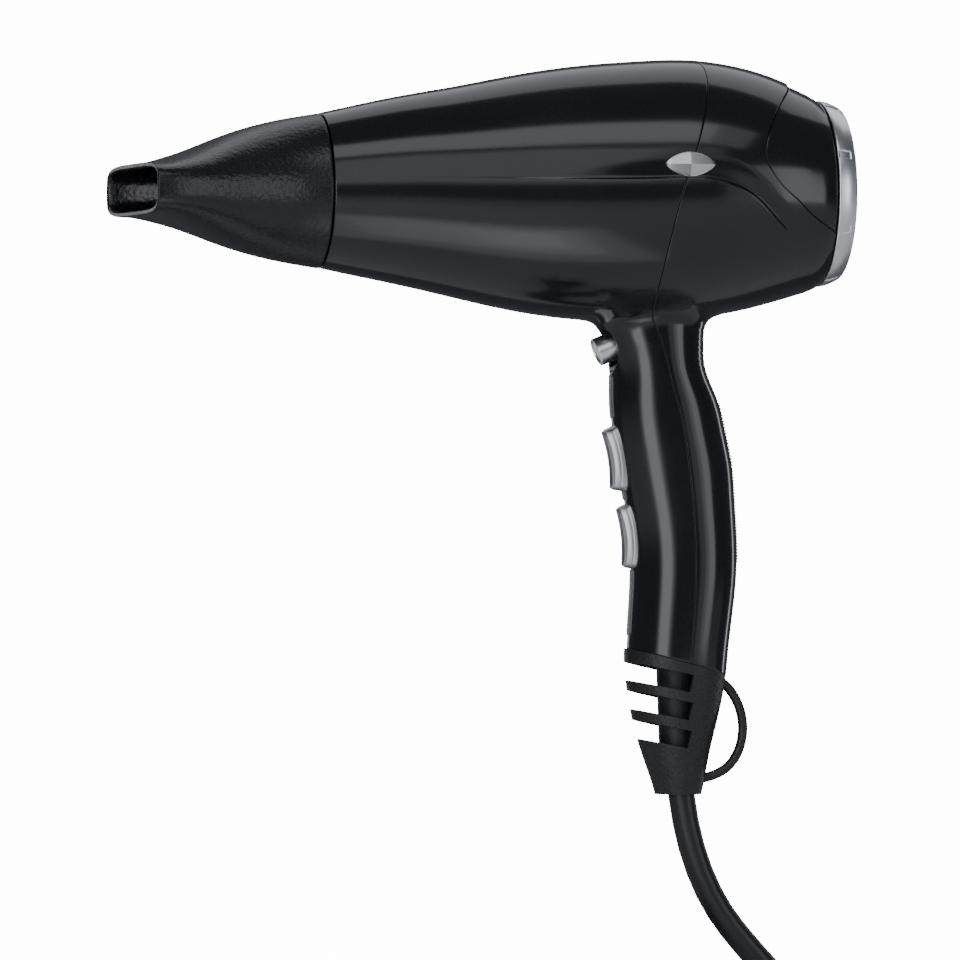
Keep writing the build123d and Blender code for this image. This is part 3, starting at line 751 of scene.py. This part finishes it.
# ---------------------------------------------------------------- side badges
def badge_look():
    """Pointed ovals with four plain facets and a fine rim."""
    grids = []
    half = 7.7
    rise = 3.6
    radius = (half ** 2 + rise ** 2) / (2 * rise)
    for side in (-1, 1):
        s_at = np.linspace(-1, 1, 81)
        u = half * s_at
        edge = np.sqrt(radius ** 2 - u ** 2) - (radius - rise)
        rows = []
        for share, lift in ((1.0, -1.1), (1.0, -0.25), (0.97, -0.12), (0.93, -0.1), (0.9, -0.16),
                            (0.88, -0.16), (0.0, 0.85), (-0.88, -0.16), (-0.9, -0.16),
                            (-0.93, -0.1), (-0.97, -0.12), (-1.0, -0.25), (-1.0, -1.1)):
            x = -3.1 + u
            z = 7.5 + edge * share
            radial = (barrel_top(x) - barrel_low(x)) / 2
            middle = (barrel_top(x) + barrel_low(x)) / 2
            fall = lift if abs(share) > 0.5 else lift - 0.6 * np.abs(s_at)
            r = radial - channel(x, z) + 0.3 + fall
            y = side * np.sqrt(np.maximum(r ** 2 - (z - middle) ** 2, 0))
            rows.append(np.stack([x, y, z], -1))
        grids.append((np.stack(rows, 0), False))
    made = make_object("side_badges_look", grids, badge_silver, "housing",
                       ("side_badges",))
    made.data.set_sharp_from_angle(angle=math.radians(6))


badge_look()


# ---------------------------------------------------------------- grip skins
KNURL_PITCH = 0.92


def skin_patch(z_low, z_high, half_y, front, raised, rows_n, columns_n, knurl=0.0,
               round_ends=1.2):
    """A strip on the front or back of the handle, with rolled edges."""
    edge = [(-0.02, -0.7), (0.0, -0.15), (0.05, raised * 0.6), (0.14, raised * 0.93)]
    v_at = [z_low + d for d, _ in edge] + list(np.linspace(z_low + 0.3, z_high - 0.3, rows_n))
    v_up = [h for _, h in edge] + [raised] * rows_n
    v_at += [z_high - d for d, _ in reversed(edge)]
    v_up += [h for _, h in reversed(edge)]
    y_at = [-half_y + d for d, _ in edge]
    y_at += list(np.linspace(-half_y + 0.3, half_y - 0.3, columns_n))
    y_up = [h for _, h in edge] + [raised] * columns_n
    y_at += [half_y - d for d, _ in reversed(edge)]
    y_up += [h for _, h in reversed(edge)]
    z = np.array(v_at)[:, None] + 0 * np.array(y_at)[None, :]
    up = np.minimum(np.array(v_up)[:, None], np.array(y_up)[None, :])
    gap_end = np.minimum(z - z_low, z_high - z)
    bend = np.sqrt(np.maximum(1 - ((round_ends - gap_end) / round_ends) ** 2, 0))
    shrink = np.where(gap_end < round_ends, 1 - bend, 0.0)
    y = np.array(y_at)[None, :] * (1 - shrink * round_ends / half_y)
    if knurl > 0:
        bumps = ((0.5 + 0.5 * np.cos(z * 2 * math.pi / KNURL_PITCH))
                 * (0.5 + 0.5 * np.cos(y * 2 * math.pi / KNURL_PITCH)))
        up = up + knurl * np.where(up >= raised * 0.99, bumps, 0.0)
    centre = grip_mid(z)
    deep = grip_deep(z)
    wide = grip_wide(z)
    reach = np.sqrt(np.maximum(1 - (y / wide) ** 2, 0.0))
    normal_x = reach / deep
    normal_y = y / wide ** 2
    size = np.sqrt(normal_x ** 2 + normal_y ** 2)
    sign = -1.0 if front else 1.0
    x = centre + sign * (deep * reach + up * normal_x / size)
    return np.stack([x, y + up * normal_y / size, z], -1)


strips = [(skin_patch(-66.2, -53.4, 2.3, True, 0.35, 40, 20), False),
          (skin_patch(-90.3, -87.6, 2.3, True, 0.35, 8, 20, round_ends=0.3), False),
          (skin_patch(-130.0, -110.6, 2.3, True, 0.35, 60, 20), False)]
make_object("switch_panel_look", strips, panel_grey, "housing", ("switch_panel",))
pimples = skin_patch(-108.8, -61.5, 4.6, False, 0.05, 290, 56, 0.42)
make_object("grip_insert_look", [(pimples, False)], soft_black, "housing",
            ("grip_insert",))

# ---------------------------------------------------------------- other pieces
copies = [
    ("inlet_grille", satin_black, "inlet", "satin_black", 0.12),
    ("cold_shot_button", ring_silver, "cold_shot", "silver_paint", 0.3),
    ("cord_boot", matte_black, "housing", "soft_black", 0.5),
    ("strain_relief", soft_black, "housing", "soft_black", 0.0),
    ("plug_body", satin_black, "housing", "satin_black", 0.4),
    ("plug_relief", soft_black, "housing", "soft_black", 0.3),
    ("plug_pins", pin_metal, "housing", "plug_pin_metal", 0.0),
]


def loop_look():
    route = [(11.0, -142.0), (16.5, -144.6), (20.6, -150.5), (22.0, -157.4), (20.8, -163.8),
             (17.4, -168.8), (12.0, -171.6), (5.6, -172.8)]
    share = np.linspace(0, 7, 8)
    along_x = smooth_curve(share, [p[0] for p in route])
    along_z = smooth_curve(share, [p[1] for p in route])
    t = np.linspace(0, 7, 141)
    x = along_x(t)
    z = along_z(t)
    dx = np.gradient(x)
    dz = np.gradient(z)
    size = np.sqrt(dx ** 2 + dz ** 2)
    around = np.linspace(0, 2 * math.pi, 28, endpoint=False)
    radius = 1.42 + 0.25 * soft((0.8 - t) / 0.8) + 0.25 * soft((t - 6.3) / 0.7)
    out_x = (dz / size)[:, None] * np.cos(around) * radius[:, None]
    out_z = (-dx / size)[:, None] * np.cos(around) * radius[:, None]
    out_y = np.sin(around)[None, :] * radius[:, None]
    points = np.stack([x[:, None] + out_x, out_y, z[:, None] + out_z], -1)
    make_object("hanging_loop_look", [(points, True)], matte_black, "housing",
                ("hanging_loop",))


loop_look()
for name, material, body, slot_name, width in copies:
    copy_node(name, material, body, width)

inside = {
    "outlet_grille": grille_steel, "mica_sleeve": mica, "mica_boards": mica,
    "heater_windings": steel, "thermostat": steel, "thermal_fuse": steel,
    "fan_duct": dark_inside, "motor_can": steel, "motor_end_cap": steel,
    "motor_magnets": magnet_dark, "motor_armature": copper, "motor_shaft": steel,
    "rectifier_board": board_green, "fan_impeller": dark_inside, "filter_frame": satin_black,
    "filter_mesh": grille_steel, "switch_carrier": switch_grey, "speed_switch": switch_grey,
    "heat_switch": switch_grey, "speed_slider": dark_inside, "heat_slider": dark_inside,
    "cold_shot_switch": switch_grey, "cold_shot_spring": steel, "cord_entry": cord_black,
    "cord_clamp": switch_grey, "clamp_screws": steel, "housing_screw": steel,
    "power_wires": wire_white, "nozzle_snap_ring": steel,
}
for name, material in inside.items():
    for slot_of in node[name].material_slots:
        slot_of.link = "OBJECT"
        slot_of.material = material

mains_cord.data.materials.append(cord_black)
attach(mains_cord, "housing")
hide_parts("cord_lead", "cord_coil")


# ---------------------------------------------------------------- floor and light
def staged(name, corners, faces, glow=0.0):
    """A pale piece of the room, left out of the model."""
    mesh = bpy.data.meshes.new(name)
    mesh.from_pydata(corners, [], faces)
    made = bpy.data.objects.new(name, mesh)
    bpy.context.collection.objects.link(made)
    material, _, shader = new_material(name)
    shader.inputs["Base Color"].default_value = (0.9, 0.9, 0.9, 1.0)
    shader.inputs["Roughness"].default_value = 0.8
    if glow > 0:
        shader.inputs["Emission Color"].default_value = (1.0, 1.0, 1.0, 1.0)
        shader.inputs["Emission Strength"].default_value = glow
    mesh.materials.append(material)
    return made


ROOM = 6.5           # metres from the dryer to the wall, outside every view
WALL_SIDES = 64
WALL_TOP = 3.5


def ground(name, near, far, height):
    """A level strip of floor between two distances behind the target."""
    corners = []
    for ahead, across in ((near, -ROOM), (near, ROOM), (far, ROOM), (far, -ROOM)):
        spot = target + look * ahead + side * across
        corners.append((spot.x, spot.y, height))
    return staged(name, corners, [(0, 1, 2, 3)])


def no_echo(made):
    """Seen by the camera only: it neither lights the dryer nor shows in it."""
    made.visible_glossy = False
    made.visible_diffuse = False


floor_z = (-262.0 + LIFT) * MM
side = Vector((math.cos(TURN), -math.sin(TURN), 0.0))
ground("floor", -ROOM, 0.16, floor_z)
far_floor = ground("far_floor", 0.16, ROOM, floor_z)
corners = []
for level in (floor_z - 0.02, WALL_TOP):
    for i in range(WALL_SIDES):
        a = 2 * math.pi * i / WALL_SIDES
        corners.append((target.x + ROOM * math.cos(a), target.y + ROOM * math.sin(a), level))
wall_faces = []
for i in range(WALL_SIDES):
    after = (i + 1) % WALL_SIDES
    wall_faces.append((i, after, WALL_SIDES + after, WALL_SIDES + i))
backdrop = staged("backdrop", corners, wall_faces, glow=GLOW)
no_echo(far_floor)
no_echo(backdrop)
floor_tree = far_floor.data.materials[0].node_tree
floor_shader = floor_tree.nodes["Principled BSDF"]
floor_shader.inputs["Emission Color"].default_value = (1.0, 1.0, 1.0, 1.0)
where = add(floor_tree, "ShaderNodeTexCoord")
along = add(floor_tree, "ShaderNodeVectorMath", operation="DOT_PRODUCT")
along.inputs[1].default_value = look
rise = add(floor_tree, "ShaderNodeMapRange")
rise.inputs["From Min"].default_value = 0.3
rise.inputs["From Max"].default_value = 0.85
rise.inputs["To Max"].default_value = GLOW
rise.interpolation_type = "SMOOTHSTEP"
floor_tree.links.new(where.outputs["Object"], along.inputs[0])
floor_tree.links.new(along.outputs["Value"], rise.inputs["Value"])
floor_tree.links.new(rise.outputs["Result"], floor_shader.inputs["Emission Strength"])

world = bpy.data.worlds.new("world")
bpy.context.scene.world = world
world.use_nodes = True
world.node_tree.nodes["Background"].inputs["Color"].default_value = (0.85, 0.9, 1.0, 1.0)
world.node_tree.nodes["Background"].inputs["Strength"].default_value = 0.09


def soft_box(name, turn, rise, distance, width, height, radiance, tint=(0.93, 0.95, 1.0)):
    """An area light placed by its bearing from the camera's side and its elevation."""
    a = math.radians(turn)
    e = math.radians(rise)
    flat = -look * math.cos(a) + side * math.sin(a)
    place = target + (flat * math.cos(e) + Vector((0, 0, 1)) * math.sin(e)) * distance
    data = bpy.data.lights.new(name, "AREA")
    data.shape = "RECTANGLE"
    data.size = width
    data.size_y = height
    data.energy = radiance * width * height * math.pi
    data.color = tint
    made = bpy.data.objects.new(name, data)
    bpy.context.collection.objects.link(made)
    made.location = place
    made.rotation_euler = (target - place).to_track_quat("-Z", "Y").to_euler()
    made.visible_camera = False
    return made


soft_box("overhead", 0, 129, 1.4, 2.2, 1.0, 0.85)
soft_box("front_high", 0, 56, 1.6, 1.7, 0.5, 0.9)
soft_box("front_high_wide", 0, 56, 1.65, 2.8, 0.62, 0.8)
soft_box("front_mid", 0, 26, 1.6, 1.3, 0.8, 0.5)
soft_box("front_mid_wide", 0, 26, 1.65, 2.3, 1.0, 0.5)
soft_box("left_core", -24, 0, 0.90, 0.34, 0.54, 1.7)
soft_box("left_middle", -24, 0, 0.92, 0.48, 0.56, 0.8)
soft_box("left_wide", -24, 0, 0.96, 0.63, 0.58, 0.4)
soft_box("back_left", -152, 3, 1.5, 0.3, 0.8, 1.1)
soft_box("right_core", 64, 2, 1.5, 0.34, 0.9, 0.8)
soft_box("right_middle", 61, 2, 1.53, 0.56, 1.0, 0.7)
soft_box("right_wide", 55, 2, 1.6, 0.9, 1.1, 0.5)
soft_box("back_edge", 130, 4, 1.5, 0.16, 1.2, 2.6)
for number, (long, deep) in enumerate(((0.07, 0.12), (0.14, 0.19), (0.22, 0.27))):
    low_light = soft_box("low_front_" + str(number), 0, -45, 0.3, long, deep, 0.5)
    low_light.location = Vector((-0.085, -0.25, floor_z + 0.012 + 0.002 * number))
    low_light.rotation_euler = (math.pi, 0.0, -TURN)

bpy.context.view_layer.update()
